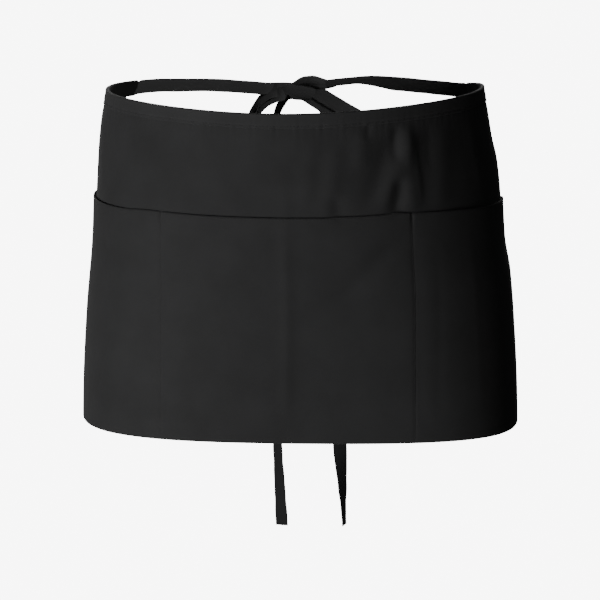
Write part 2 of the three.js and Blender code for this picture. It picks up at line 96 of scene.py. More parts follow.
FORM = {
    "drop": [0, 0.075, 0.15, 0.225, 0.31, 0.45, 0.55, 0.675, 0.9, 1],
    "flare": [0, 0.17, 0.29, 0.415, 0.49, 0.58, 0.73, 0.857, 0.985, 1],
    "offset": [0, 0, 0.12, 0.5, 0.66, 0.74, 1.02, 1, 1, 1],
    "left": [2, 2, 2.1, 2.2, 2.4, 2.5, 2.6, 2.7, 2.9, 3],
    "right": [2, 2, 2.05, 2.1, 2.2, 2.5, 2.7, 2.9, 3.3, 3.5],
}
SAG = {
    "round": [0, 0.3, 0.62, 0.81, 1],
    "left": [0, 0.18, 0.46, 0.75, 1],
    "right": [0, 0.45, 0.4, 0.64, 1],
}
print("panel", PANEL_WIDTH, "by", PANEL_DROP, "mm")

# %% Reading a table
def read(table, key, column, x):
    """A column of a table at x, by the cubic between rows that never overshoots them: each
    row's slope is the harmonic mean of the slopes on its two sides, or level at a turn."""
    at, values = np.array(table[key], float), np.array(table[column], float)
    span, rate = np.diff(at), np.diff(values) / np.diff(at)
    before, after = rate[:-1], rate[1:]
    same = before * after > 0
    total = np.where(same, before + after, 1.0)
    slope = np.concatenate([[0.0], np.where(same, 2 * before * after / total, 0.0), [0.0]])
    x = np.clip(x, at[0], at[-1])
    i = np.clip(np.searchsorted(at, x, side="left") - 1, 0, len(at) - 2)
    t = (x - at[i]) / span[i]
    start = (1 + 2 * t) * (1 - t) ** 2 * values[i] + t * (1 - t) ** 2 * span[i] * slope[i]
    end = t**2 * (3 - 2 * t) * values[i + 1] - t**2 * (1 - t) * span[i] * slope[i + 1]
    return start + end


def blend(a, b, t):
    """a where t is 0, b where t is 1."""
    return a + (b - a) * t


def fade(low, high, x):
    """0 below low, 1 above high, and an even S between."""
    t = np.clip((x - low) / (high - low), 0, 1)
    return t * t * (3 - 2 * t)


print("flare half way down", round(float(read(FORM, "drop", "flare", 0.5)), 3))

# %% The plan and the way round it
def plan(share, turn):
    """A point of the oval at a share of the drop: r = (|sin/a|^n + |cos/b|^n)^(-1/n), with
    turn 0 at the front and n different on the left and the right."""
    flare = read(FORM, "drop", "flare", share)
    half_width = blend(WAIST_WIDTH, HEM_WIDTH, flare) / 2
    half_depth = blend(WAIST_DEPTH, HEM_DEPTH, flare) / 2
    left, right = (read(FORM, "drop", side, share) for side in ("left", "right"))
    power = np.where(turn < 0, left, right)
    across = (np.abs(np.sin(turn)) / half_width) ** power
    along = (np.abs(np.cos(turn)) / half_depth) ** power
    radius = (across + along) ** (-1 / power)
    offset = HEM_OFFSET * read(FORM, "drop", "offset", share)
    return offset + radius * np.sin(turn), -radius * np.cos(turn)


SHARES = np.linspace(0, 1, 161)
ROUNDS = np.arange(-560.0, 561.0)


def turn_table():
    """For each share, the turn at each whole millimetre round, from the summed lengths of
    1,800 short chords either side of the front."""
    turns = np.linspace(-1.25 * np.pi, 1.25 * np.pi, 3601)
    x, y = plan(SHARES[:, None], turns[None, :])
    steps = np.hypot(np.diff(x, axis=1), np.diff(y, axis=1))
    lengths = np.concatenate([np.zeros((len(SHARES), 1)), np.cumsum(steps, axis=1)], axis=1)
    lengths -= lengths[:, 1800:1801]
    half = float(np.interp(np.pi, turns, lengths[0]))
    return np.stack([np.interp(ROUNDS, row, turns) for row in lengths]), half


TURNS, HALF_LOOP = turn_table()
print("half the way round the waist is", round(HALF_LOOP, 1), "mm")


def turn_at(around, share):
    """The turn that lies a length around from the front, between the table's four nearest."""
    around, share = np.broadcast_arrays(around, share)
    r = np.clip(around - ROUNDS[0], 0, len(ROUNDS) - 1.001)
    s = np.clip(share, 0, 1) * (len(SHARES) - 1.001)
    i, j = s.astype(int), r.astype(int)
    u, v = s - i, r - j
    top = blend(TURNS[i, j], TURNS[i, j + 1], v)
    return blend(top, blend(TURNS[i + 1, j], TURNS[i + 1, j + 1], v), u)


# %% [markdown]
# ## Folds
#
# Soft cloth gathers where the band pulls it in. Each fold is a low ridge or valley whose line
# slants across the cloth, with the cross-section of a bell curve, fading at both ends. The
# widest ones are in the solids too. The narrow ones are only a millimetre high, but on black
# cloth they are most of what the eye reads.

# %% Folds
FOLDS = {
    "high": [0.199, 0.207, 0.182, 0.183, 0.218, 0.268, 0.125, 0.086, 0.075, -0.04, 0.19, 0],
    "low": [0.201, 0.145, 0.134, 0.172, 0.226, 0.246, 0.12, 0.062, 0.085, -0.06, 0.06, 0],
    "from": [0.05, 0.06, 0.06, 0.2, 0.06, 0.05, 0.05, 0.08, 0.24, 0.2, 0.36, 0.1],
    "to": [0.335, 0.31, 0.3, 0.33, 0.335, 0.335, 0.18, 0.335, 0.335, 0.42, 0.6, 0.99],
    "width": [0.016, 0.018, 0.02, 0.012, 0.018, 0.02, 0.014, 0.016, 0.014, 0.06, 0.03, 0.012],
    "rise": [0.5, 0.6, -0.5, -0.6, -0.02, 0.3, 0.3, 0.3, -0.3, -0.3, -0.35, 0.12],
}


def fold_rise(around, drop, folds, depth):
    """How far folds push the cloth outwards: a sum of bell curves, exp(-(distance/width)^2),
    about lines that run from high to low, each faded over a quarter of its length."""
    across = (around - PANEL_TURN) / PANEL_WIDTH
    down = drop / PANEL_DROP
    rise = np.zeros(np.broadcast(across, down).shape)
    for high, low, start, stop, width, height in zip(*folds.values()):
        t = np.clip((down - start) / (stop - start), 0, 1)
        bell = np.exp(-(((across - blend(high, low, t)) / width) ** 2))
        rise = rise + height * bell * fade(0, 0.25, t) * fade(0, 0.25, 1 - t)
    return depth * rise


def line_height(around, share):
    """Height of the cloth's line: tilted, dipped by cos^2 at the front, and lowered behind the
    sides by each tie's own sag."""
    turn = turn_at(around, 0.0)
    forward = np.cos(turn)
    tilt = blend(BAND_TILT, HEM_TILT, share) * np.sin(turn)
    dip = blend(FRONT_DIP, HEM_DIP, share) * forward**2
    to_back = np.arcsin(np.clip(-forward, 0, 1)) / (np.pi / 2)
    left, right = (read(SAG, "round", side, to_back) for side in ("left", "right"))
    sag = BACK_SAG * np.where(np.sin(turn) < 0, left, right)
    return tilt - np.where(forward >= 0, dip, sag)


def middle(around, drop):
    """A point of the cloth's middle surface: the plan at that share of the drop, moved out by
    the folds, at the line's height less the drop."""
    around, drop = np.broadcast_arrays(np.asarray(around, float), np.asarray(drop, float))
    share = np.clip(drop / PANEL_DROP, 0, 1)
    turn = turn_at(around, share)
    x, y = plan(share, turn)
    ahead = np.stack(plan(share, turn + 0.002)) - np.stack(plan(share, turn - 0.002))
    ahead /= np.linalg.norm(ahead, axis=0)
    rise = fold_rise(around, drop, FOLDS, FOLD_DEPTH)
    z = BAND_HEIGHT / 2 + line_height(around, share) - drop
    return np.stack([x + ahead[1] * rise, y - ahead[0] * rise, z], axis=-1)


def on_cloth(around, drop, out):
    """A point out millimetres off the middle surface, along the cross product of its slopes."""
    around, drop, out = np.broadcast_arrays(
        np.asarray(around, float), np.asarray(drop, float), np.asarray(out, float)
    )
    along = middle(around + 0.5, drop) - middle(around - 0.5, drop)
    down = middle(around, drop + 0.5) - middle(around, np.maximum(drop - 0.5, 0))
    normal = np.cross(down, along)
    normal /= np.linalg.norm(normal, axis=-1, keepdims=True)
    return middle(around, drop) + normal * out[..., None]


print("front of the top edge", middle(0.0, 0.0).round(1))

# %% [markdown]
# ## From rings to a mesh
#
# Every cloth piece here is a closed skin over a row of rings. A ring runs down one face of the
# cloth and back up the other, and the first and last rings are closed like a zip. The UV map
# holds real metres along and across, so that the weave keeps its size on every piece.

# %% Mesh helpers
def link(name, mesh):
    """A new object for a mesh, in the scene."""
    piece = bpy.data.objects.new(name, mesh)
    bpy.context.scene.collection.objects.link(piece)
    return piece


def mesh_from(name, points, quads, uv=None):
    """A smooth-shaded mesh from points in millimetres and quads; faces are turned so that the
    sum of the signed volumes under them is positive."""
    corners = points[quads] * MM
    a, b, c, d = (corners[:, i] for i in range(4))
    volume = np.sum(a * np.cross(b, c)) + np.sum(a * np.cross(c, d))
    if volume < 0:
        quads = quads[:, ::-1]
    mesh = bpy.data.meshes.new(name)
    mesh.vertices.add(len(points))
    mesh.vertices.foreach_set("co", (points * MM).astype(np.float32).ravel())
    mesh.loops.add(quads.size)
    mesh.loops.foreach_set("vertex_index", quads.astype(np.int32).ravel())
    mesh.polygons.add(len(quads))
    mesh.polygons.foreach_set("loop_start", np.arange(0, quads.size, 4, dtype=np.int32))
    mesh.update(calc_edges=True)
    mesh.polygons.foreach_set("use_smooth", np.ones(len(quads), bool))
    if uv is not None:
        layer = mesh.uv_layers.new(name="cloth")
        layer.uv.foreach_set("vector", (uv[quads.ravel()] * MM).astype(np.float32).ravel())
    mesh.validate()
    return link(name, mesh)


def ring_quads(rings, count):
    """Quads between each ring and the next, and across the first and the last ring."""
    i, j = np.meshgrid(np.arange(rings - 1), np.arange(count), indexing="ij")
    k = (j + 1) % count
    a, b = i * count + j, i * count + k
    side = np.stack([a, b, b + count, a + count], axis=-1).reshape(-1, 4)
    j = np.arange(count // 2 - 1)
    k = count - 1 - j
    first = np.stack([j, k, k - 1, j + 1], axis=-1)
    return np.concatenate([side, first, first[:, ::-1] + (rings - 1) * count])


def skin(name, rings, uv):
    """One closed cloth piece from rings of shape (rings, points, 3) and a UV for each."""
    count = rings.shape[1]
    quads = ring_quads(len(rings), count)
    piece = mesh_from(name, rings.reshape(-1, 3), quads, uv.reshape(-1, 2))
    print(name, len(piece.data.polygons), "faces")
    return piece


def face_to_face(outer, inner):
    """Joins the outer face's columns to the inner face's, back to front, as rings."""
    return np.concatenate([outer, inner[:, ::-1]], axis=1)


# %% [markdown]
# ## Stitches
#
# A line of machine stitching is a row of short threads that dip into the cloth at both ends.
# A bump map would do from far away, but real threads catch the light along a seam. Each one
# is a bent tube of a few faces, copied to every place at once with array arithmetic.

# %% Stitches
THREAD, TIE_THREAD = 0.42, 0.36
STITCH = 3.1
THREAD_SHARE = 0.8


def stitch_template():
    """A bent tube from x = -0.5 to 0.5: its middle lies 0.9 (2x)^4 deep and its radius shrinks
    at the ends. Returns points as (along, side, up) and its quads."""
    x = np.array([-0.5, -0.36, 0.0, 0.36, 0.5])
    size = np.array([0.25, 0.9, 1.0, 0.9, 0.25])
    turn = (np.arange(4) + 0.5) * np.pi / 2
    side = size[:, None] * np.cos(turn)
    up = size[:, None] * np.sin(turn) + (1 - (2 * x[:, None]) ** 4) * 0.9 - 0.9
    points = np.stack([np.broadcast_to(x[:, None], side.shape), side, up], axis=-1)
    return points.reshape(-1, 3), ring_quads(*side.shape)


def stitches(name, starts, ends, normals, thread=THREAD):
    """One mesh of threads, each from its start to its end, lifted along its normal."""
    points, quads = stitch_template()
    along = ends - starts
    normals = normals / np.linalg.norm(normals, axis=1, keepdims=True)
    side = np.cross(normals, along)
    side /= np.linalg.norm(side, axis=1, keepdims=True)
    centre = (starts + ends) / 2
    places = (
        centre[:, None]
        + points[None, :, :1] * along[:, None]
        + points[None, :, 1:2] * side[:, None] * thread / 2
        + points[None, :, 2:] * normals[:, None] * thread / 2
    )
    count = len(points)
    all_quads = quads[None] + np.arange(len(starts))[:, None, None] * count
    piece = mesh_from(name, places.reshape(-1, 3), all_quads.reshape(-1, 4))
    print(name, len(starts), "stitches")
    return piece


def seam_on_cloth(around, drop, out):
    """Ends of each stitch along a line on the cloth, given as arrays with a point every 0.5 mm
    or so: the line is cut every STITCH, and a gap of a fifth is left between threads."""
    line = on_cloth(around, drop, out)
    lift = on_cloth(around, drop, out + 1.0) - line
    length = np.concatenate([[0], np.cumsum(np.linalg.norm(np.diff(line, axis=0), axis=1))])
    first = np.arange(0, length[-1] - STITCH, STITCH)
    at = lambda where, values: np.stack([np.interp(where, length, v) for v in values.T], -1)
    last = first + THREAD_SHARE * STITCH
    return at(first, line), at(last, line), at(first + 0.4 * STITCH, lift)


print("thread", THREAD, "mm, stitch", STITCH, "mm")

# %% [markdown]
# ## The hanging ends and the bow's loops
#
# The ties are flat straps, so limp that each takes a path of its own. A strap could be a curve
# with a bevel, but its twist is hard to hold there. Here a route gives its middle and its turn
# about itself, and a flat section with soft edges is carried along it.

# %% Routes, in millimetres from the knot's middle
KNOT_SHIFT, KNOT_DEPTH, KNOT_FORWARD = 9.0, 17.0, 0.19
UNDER_BAND = 1.3
KNOT = on_cloth(HALF_LOOP - KNOT_SHIFT, UNDER_BAND + TIE_WIDTH / 2, KNOT_FORWARD * KNOT_DEPTH)

LOOP_LEFT = {
    "right": [-13, -20.4, -25.5, -32, -41, -49, -55.5, -59],
    "back": [-1, -2, -3, -2, 0, 3, 6, 8],
    "up": [-0.8, -1, -1.4, -4, -10.4, -21, -40, -66],
    "turn": [0, 5, 16, 42, 60, 66, 60, 30],
}
LOOP_RIGHT = {
    "right": [-3, 7, 16.8, 21.5, 32, 45, 61, 77],
    "back": [0.5, -4, -4, -3, -1, 2, 4, 5],
    "up": [0.2, -5.4, -11.6, -14.6, -21.4, -29.4, -41, -60],
    "turn": [0, 0, 0, 0, -3, -6, -15, -25],
}
END_LEFT = {
    "right": [-18.5, -22.6, -26.2, -28.9, -29.6, -30, -30, -29.4, -28.4, -26.4, -24.2],
    "back": [-3, -2, 1, 4, 4.5, 4.5, 4.5, 4.5, 4.5, 4.5, 4.5],
    "up": [-3.5, -9.9, -16, -24, -46, -100, -180, -260, -336, -376, -417],
    "turn": [60, 64, 64, 64, 62, 62, 60, 58, 52, 42, 32],
}
END_RIGHT = {
    "right": [8, 11.5, 15.5, 21.5, 27, 28.5, 28.5, 29, 30.4, 32.9, 34.9],
    "back": [3, 4.6, 7.6, 10, 11, 9, 6, 4.5, 4.5, 4.5, 4.5],
    "up": [-4, -9.9, -17, -28, -46, -100, -180, -260, -336, -376, -417],
    "turn": [-20, -20, -22, -24, -24, -18, -8, -4, -14, -50, -74],
}
# How far each layer of a loop lies from the route, by u: 0 to 0.5 on the way out, 0.5 to 1 back
APART_LEFT = {"u": [0, 0.14, 0.28, 0.4, 0.5, 0.6, 0.72, 0.86, 1],
              "off": [0.5, 2, 3.2, 1, 0, -1, -3.2, -2, -0.5]}
APART_RIGHT = {"u": [0, 0.2, 0.38, 0.5, 0.62, 0.8, 1], "off": [-4.6, -4.8, -5, 0, 4.6, 4, 3.6]}
print("knot at", KNOT.round(1))

# %% A smooth curve through a route
def route_points(route):
    """The route's points, set out from the knot's middle."""
    return KNOT + np.stack([np.array(route[k], float) for k in ("right", "back", "up")], -1)


def curve_at(points, t):
    """Centripetal Catmull-Rom: between two points, a cubic whose end slopes weigh the spans on
    each side by the square root of their lengths; past the ends the line is carried on."""
    first, last = 2 * points[0] - points[1], 2 * points[-1] - points[-2]
    p = np.concatenate([[first], points, [last]])
    spans = np.linalg.norm(np.diff(p, axis=0), axis=1) ** 0.5
    place = np.clip(t, 0, 1) * (len(points) - 1)
    i = np.minimum(place.astype(int), len(points) - 2)
    w = (place - i)[:, None]
    a, b, c = (spans[i + k][:, None] for k in range(3))
    p0, p1, p2, p3 = (p[i + k] for k in range(4))
    leave = ((p1 - p0) / a - (p2 - p0) / (a + b) + (p2 - p1) / b) * b
    arrive = ((p2 - p1) / b - (p3 - p1) / (b + c) + (p3 - p2) / c) * b
    return (
        p1
        + leave * w
        + (3 * (p2 - p1) - 2 * leave - arrive) * w**2
        + (2 * (p1 - p2) + leave + arrive) * w**3
    )


def unit(v):
    """Vectors of length one."""
    return v / np.linalg.norm(v, axis=-1, keepdims=True)


def across_at(along, turn):
    """The direction across a strap that faces the front, turned about the strap's length by
    Rodrigues' formula."""
    across = unit(np.cross(along, [0.0, -1.0, 0.0]))
    c, s = np.cos(turn)[:, None], np.sin(turn)[:, None]
    inner = np.sum(along * across, axis=1, keepdims=True)
    return across * c + np.cross(along, across) * s + along * inner * (1 - c)


def turn_on(route, t):
    """The strap's turn about its length, in radians, at a share t of the route's rows."""
    rows = {"at": np.linspace(0, 1, len(route["turn"])), "turn": route["turn"]}
    return np.radians(read(rows, "at", "turn", t))


# %% Where a strap's middle and its directions lie
def end_frames(route, count):
    """A hanging end: middle, across and through at even steps of the route's own parameter."""
    t = np.linspace(0, 1, count)
    points = route_points(route)
    centre = curve_at(points, t)
    along = unit(curve_at(points, t + 1e-4) - curve_at(points, t - 1e-4))
    across = across_at(along, turn_on(route, t))
    return centre, across, unit(np.cross(along, across))


def loop_frames(route, parting, apart, count):
    """A bow loop: out along the route and back, at (1 - cos 2 pi u) / 2 of it. Its two layers
    part along a given direction by the table's distance at u."""
    points = route_points(route)

    def middle_at(u):
        t = (1 - np.cos(2 * np.pi * u)) / 2
        inside = np.clip(t, 1e-4, 1 - 1e-4)
        along = unit(curve_at(points, inside + 1e-4) - curve_at(points, inside - 1e-4))
        across = across_at(along, turn_on(route, t))
        layer = 0.9 * np.cos(np.pi * u)[:, None] * unit(np.cross(along, across))
        off = read(apart, "u", "off", u)[:, None] * unit(np.array(parting, float))
        return curve_at(points, t) + layer + off, across

    even = np.linspace(0, 1, count)
    u = even + 0.6 * np.sin(4 * np.pi * even) / (4 * np.pi)
    centre, across = middle_at(u)
    before, after = middle_at(np.maximum(u - 0.004, 0))[0], middle_at(np.minimum(u + 0.004, 1))[0]
    along = unit(after - before)
    through = unit(np.cross(along, across))
    return centre, unit(np.cross(through, along)), through


def length_of(centre):
    """The length of a line of points."""
    return float(np.sum(np.linalg.norm(np.diff(centre, axis=0), axis=1)))


# %% [markdown]
# ## A tie's section
#
# Each tie is a strip folded over on itself and stitched down both sides. That leaves soft round
# edges, a slight hollow along each line of thread, and faces that are never quite flat.

# %% Straps
TIE_THICK, TIE_BOW, EDGE_SEAM = 1.15, 0.35, 1.7
STRAP_SAMPLES, STRAP_RINGS = 17, 190


def strap_section(thick):
    """Half the section, as (across, half thickness): thickness falls off towards the edges as
    sqrt(1 - |x/w|^10) and dips in a bell curve along both stitch lines."""
    half = TIE_WIDTH / 2
    x = half * np.sin(np.linspace(-np.pi / 2, np.pi / 2, STRAP_SAMPLES))
    edge = np.sqrt(np.clip(1 - np.abs(x / half) ** 10, 0.02, 1))
    dent = np.exp(-(((half - np.abs(x) - EDGE_SEAM) / 0.7) ** 2))
    return x, thick / 2 * edge * (1 - 0.32 * dent)


def strap(name, frames, phase):
    """A strap along its frames. Its face is bowed across by up to TIE_BOW, and its edges ripple
    a little along its length, a sum of two sines whose steps don't share a beat."""
    centre, across, through = frames
    x, half = strap_section(TIE_THICK)
    length = np.concatenate([[0], np.cumsum(np.linalg.norm(np.diff(centre, axis=0), axis=1))])
    ripple = 0.16 * np.sin(length / 5.3 + phase) + 0.14 * np.sin(length / 3.1 + 2 * phase)
    bow = TIE_BOW * (1 - (2 * x / TIE_WIDTH) ** 2) * np.sin(length[:, None] / 47 + phase)
    edge = (2 * x / TIE_WIDTH) ** 3 * ripple[:, None]
    lift = bow + edge
    faces = [
        centre[:, None] + across[:, None] * x[None, :, None] + through[:, None] * h[..., None]
        for h in (lift + half, lift - half)
    ]
    uv = np.stack(np.broadcast_arrays(x[None, :], length[:, None]), axis=-1)
    piece = skin(name, face_to_face(*faces), face_to_face(uv, uv))
    seams = [strap_seam(faces[0], through, x, length), strap_seam(faces[1], -through, x, length)]
    starts, ends, lifts = (np.concatenate(parts) for parts in zip(*seams))
    return piece, stitches(name + "_stitches", starts, ends, lifts, thread=TIE_THREAD)


def strap_seam(face, out, x, length):
    """Stitches along both edges of one face of a strap, EDGE_SEAM in from each edge."""
    at = lambda place, v: np.stack([np.interp(place, length, c) for c in v.T], -1)
    first = np.arange(1.0, length[-1] - STITCH, STITCH)
    found = []
    for where in (x[0] + EDGE_SEAM, x[-1] - EDGE_SEAM):
        j = int(np.searchsorted(x, where))
        line = blend(face[:, j - 1], face[:, j], (where - x[j - 1]) / (x[j] - x[j - 1]))
        last = first + THREAD_SHARE * STITCH
        found.append((at(first, line), at(last, line), at(first, out)))
    return [np.concatenate(parts) for parts in zip(*found)]


loop_left_frames = loop_frames(LOOP_LEFT, (-0.5, 0.2, 0.8), APART_LEFT, STRAP_RINGS)
loop_right_frames = loop_frames(LOOP_RIGHT, (-0.5, 0.5, -0.8), APART_RIGHT, STRAP_RINGS)
end_left_frames = end_frames(END_LEFT, STRAP_RINGS)
end_right_frames = end_frames(END_RIGHT, STRAP_RINGS)
bow_loop_left, bow_loop_left_thread = strap("loop_left", loop_left_frames, phase=0.4)
bow_loop_right, bow_loop_right_thread = strap("loop_right", loop_right_frames, phase=1.9)
end_left, end_left_thread = strap("end_left", end_left_frames, phase=3.1)
end_right, end_right_thread = strap("end_right", end_right_frames, phase=4.6)

# %% [markdown]
# ## The ties round the waist
#
# From the ends of the band the ties run round the back to the knot. The left one curls in a
# little and the right one folds double as it nears the knot. They follow the same tube as the
# cloth, so each is a strip between two drops whose lower edge rises as the strip narrows.

# %% Ties
TIE_LEFT = {"along": [0, 0.2, 1], "width": [1, 0.94, 0.86], "layers": [1, 1, 1]}
TIE_RIGHT = {"along": [0, 0.6, 0.83, 1], "width": [1, 1, 0.5, 0.5], "layers": [1, 1, 2, 2]}


def tie(name, start, stop, form, phase, behind):
    """A strip round the waist: width and layers by the table, rippled a little. Its top eases
    up level with the band's, and near the knot it moves out by behind, to pass the loop."""
    around = np.linspace(start, stop, 220)
    t = np.clip((around - start) / (stop - start), 0, 1)
    width = TIE_WIDTH * read(form, "along", "width", t)
    thick = TIE_THICK * read(form, "along", "layers", t)
    x, half = strap_section(1.0)
    past_band = np.abs(around - start) - BAND_OVERRUN
    top = UNDER_BAND - 1.0 * fade(-1, 4, past_band) * fade(60, 20, past_band)
    drop = top[:, None] + width[:, None] * (x[None, :] / TIE_WIDTH + 0.5)
    aside = behind * fade(0.86, 0.97, t)
    ripple = 0.2 * np.sin(np.abs(around) / 6.1 + phase) + 0.15 * np.sin(np.abs(around) / 3.7)
    lift = (2 * x / TIE_WIDTH) ** 3 * ripple[:, None] * fade(0, 0.15, t)[:, None]
    outs = [aside[:, None] + lift + sign * half * thick[:, None] for sign in (1, -1)]
    faces = [on_cloth(around[:, None], drop, out) for out in outs]
    uv = np.stack(np.broadcast_arrays(drop, around[:, None]), axis=-1)
    piece = skin(name, face_to_face(*faces), face_to_face(uv, uv))
    centre = on_cloth(around, top + width / 2, aside)
    length = np.concatenate([[0], np.cumsum(np.linalg.norm(np.diff(centre, axis=0), axis=1))])
    out = unit(on_cloth(around, top + width / 2, aside + 1) - centre)
    seams = [strap_seam(faces[0], out, x, length), strap_seam(faces[1], -out, x, length)]
    starts, ends, lifts = (np.concatenate(parts) for parts in zip(*seams))
    return piece, stitches(name + "_stitches", starts, ends, lifts, thread=TIE_THREAD)


PANEL_LEFT = PANEL_TURN - PANEL_WIDTH / 2
PANEL_RIGHT = PANEL_TURN + PANEL_WIDTH / 2
BEYOND_PANEL = 3
KNOT_REACH, INTO_KNOT = 20.3, 6
PASS_LOOP = 9.0
left_stop = -HALF_LOOP - KNOT_SHIFT + KNOT_REACH - INTO_KNOT
right_stop = HALF_LOOP - KNOT_SHIFT - KNOT_REACH + INTO_KNOT
tie_left, tie_left_thread = tie(
    "tie_left_side", PANEL_LEFT - BEYOND_PANEL, left_stop, TIE_LEFT, 0.3, PASS_LOOP
)
tie_right, tie_right_thread = tie(
    "tie_right_side", PANEL_RIGHT + BEYOND_PANEL, right_stop, TIE_RIGHT, 1.1, 0
)

# %% [markdown]
# ## The knot
#
# A bow's knot is one tie wrapped over the others. Modelled strand by strand it would be mostly
# hidden, so it is two pleated lumps: the strap that arches over the top, and the one beneath it
# that the left loop and the left end come out of.

# %% Knot, in millimetres from its middle
KNOT_OVER = {
    "right": [-17, -12, -8, -2, 4, 10, 16, 21, 28],
    "up": [4.4, 5.8, 7.8, 9, 8.9, 7.2, 5.6, 5.1, 5.4],
    "back": [0, -0.6, -1, -1.6, -2.2, -2.2, -1.4, -0.6, 0],
    "height": [3.2, 4.6, 6.4, 8.4, 9.8, 10.8, 9.8, 7.2, 5.6],
    "depth": [4, 8, 11, 13.5, 14.5, 14, 11, 7, 3.6],
}
KNOT_UNDER = {
    "right": [-26, -20, -10, 0, 6, 13],
    "up": [-0.6, -0.8, -1.3, -1.5, -1.4, -2],
    "back": [-2, -1.5, -0.5, 0, 0, 0],
    "height": [10.5, 12.8, 16.6, 17, 16, 11],
    "depth": [3, 6.4, 9.6, 11.4, 10.6, 6],
}


def lump(form, rings, sides, folds, slant):
    """A rounded-square section carried to the right by the table: depth times cos^0.75 and
    height times sin^0.75 of the angle, eased by pleats, |sin| of folds times the angle plus
    slant times the way along, and drawn together at both ends."""
    right = np.linspace(form["right"][0], form["right"][-1], rings)[:, None]
    turn = 2 * np.pi * (np.arange(sides)[None, :] + 0.5) / sides
    power = lambda v: np.sign(v) * np.abs(v) ** 0.75
    up, back, height, depth = (read(form, "right", k, right) for k in
                               ("up", "back", "height", "depth"))
    pleat = np.abs(np.sin(folds * turn / 2 + slant * right)) ** 0.5
    place = np.linspace(0, 1, rings)[:, None]
    round_end = np.sqrt(np.clip(1 - np.abs(2 * place - 1) ** 14, 0.03, 1))
    size = round_end * (0.9 + 0.1 * pleat)
    y = back + depth / 2 * power(np.cos(turn)) * size
    z = up + height / 2 * power(np.sin(turn)) * size
    points = np.stack(np.broadcast_arrays(right, y, z), axis=-1) + KNOT
    uv = np.stack(np.broadcast_arrays(6 * turn, right), axis=-1)
    return points, uv


def knot_piece():
    """Both lumps as one mesh."""
    parts = [lump(KNOT_OVER, 90, 72, 5, 0.09), lump(KNOT_UNDER, 80, 72, 3, -0.07)]
    quads, first = [], 0
    for points, _ in parts:
        quads.append(ring_quads(*points.shape[:2]) + first)
        first += points.shape[0] * points.shape[1]
    points = np.concatenate([p.reshape(-1, 3) for p, _ in parts])
    uv = np.concatenate([w.reshape(-1, 2) for _, w in parts])
    return mesh_from("knot", points, np.concatenate(quads), uv)


knot = knot_piece()
print("knot", len(knot.data.polygons), "faces")

# %% [markdown]
# ## The waistband
#
# The band is a strip of cloth folded over the panel's top edge and stitched through near its
# lower edge. The stitching draws the cloth in, so small puckers stand along the seam.

# %% Waistband
BAND_SEAM = 2.3
BAND_OUT, BAND_INNER_SHARE = 1.9, 0.44
BAND_ROLL = 1.4
BAND_SIDE_ROWS = 22


def pucker(around, seed):
    """Uneven ripples, 5 to 11 mm apart, along a seam: three sines whose beats never line up."""
    return (
        np.sin(around / 1.13 + seed)
        + 0.8 * np.sin(around / 1.71 + 2.1 * seed)
        + 0.6 * np.sin(around / 0.83 + 0.7 * seed)
    ) / 2.4


def band_piece():
    """An upside-down U over the panel: two flat sides joined by a half round, as an outer line
    of (drop, out) and an inner one about a millimetre inside it. The lower rim is pressed flat."""
    around = np.linspace(PANEL_LEFT - BAND_OVERRUN, PANEL_RIGHT + BAND_OVERRUN, 700)[:, None]
    side = np.linspace(BAND_HEIGHT, BAND_ROLL, BAND_SIDE_ROWS)
    flat = np.full(BAND_SIDE_ROWS, BAND_OUT)
    arc = np.linspace(0, np.pi, 13)[1:-1]
    outer_drop = np.concatenate([side, BAND_ROLL - BAND_ROLL * np.sin(arc), side[::-1]])
    outer_out = np.concatenate([flat, BAND_OUT * np.cos(arc), -flat])
    inner_drop = np.concatenate([side, 2.0 - 1.0 * np.sin(arc), side[::-1]])
    inner_out = outer_out * BAND_INNER_SHARE
    seam = np.exp(-(((outer_drop - (BAND_HEIGHT - BAND_SEAM)) / 1.0) ** 2))
    rim = fade(BAND_HEIGHT - 4.5, BAND_HEIGHT, outer_drop)
    body = fade(1.0, 6.0, outer_drop)
    ripple = 0.16 * pucker(around, 1.0) * (0.35 * body + rim) - 0.3 * seam
    pressed = 0.45 * fade(BAND_HEIGHT - 5, BAND_HEIGHT, outer_drop)
    outer = on_cloth(around, outer_drop, outer_out + np.sign(outer_out) * (ripple - pressed))
    inner = on_cloth(around, inner_drop, inner_out)
    uv = [np.stack(np.broadcast_arrays(around, d[None, :]), -1) for d in (outer_drop, inner_drop)]
    return skin("band", face_to_face(outer, inner), face_to_face(*uv))


band = band_piece()
around = np.arange(PANEL_LEFT - BAND_OVERRUN + 1, PANEL_RIGHT + BAND_OVERRUN - 1, 0.5)
band_seams = [seam_on_cloth(around, BAND_HEIGHT - BAND_SEAM, out) for out in (1.42, -1.42)]
band_seams[1] = (*band_seams[1][:2], -band_seams[1][2])
band_thread = stitches("band_stitches", *(np.concatenate(k) for k in zip(*band_seams)))

# %% [markdown]
# ## The panel
#
# The panel is the one big sheet. Its two side edges are turned in and stitched, which makes
# them stiffer and a little thicker than the rest. Its lower part is hidden by the pocket.

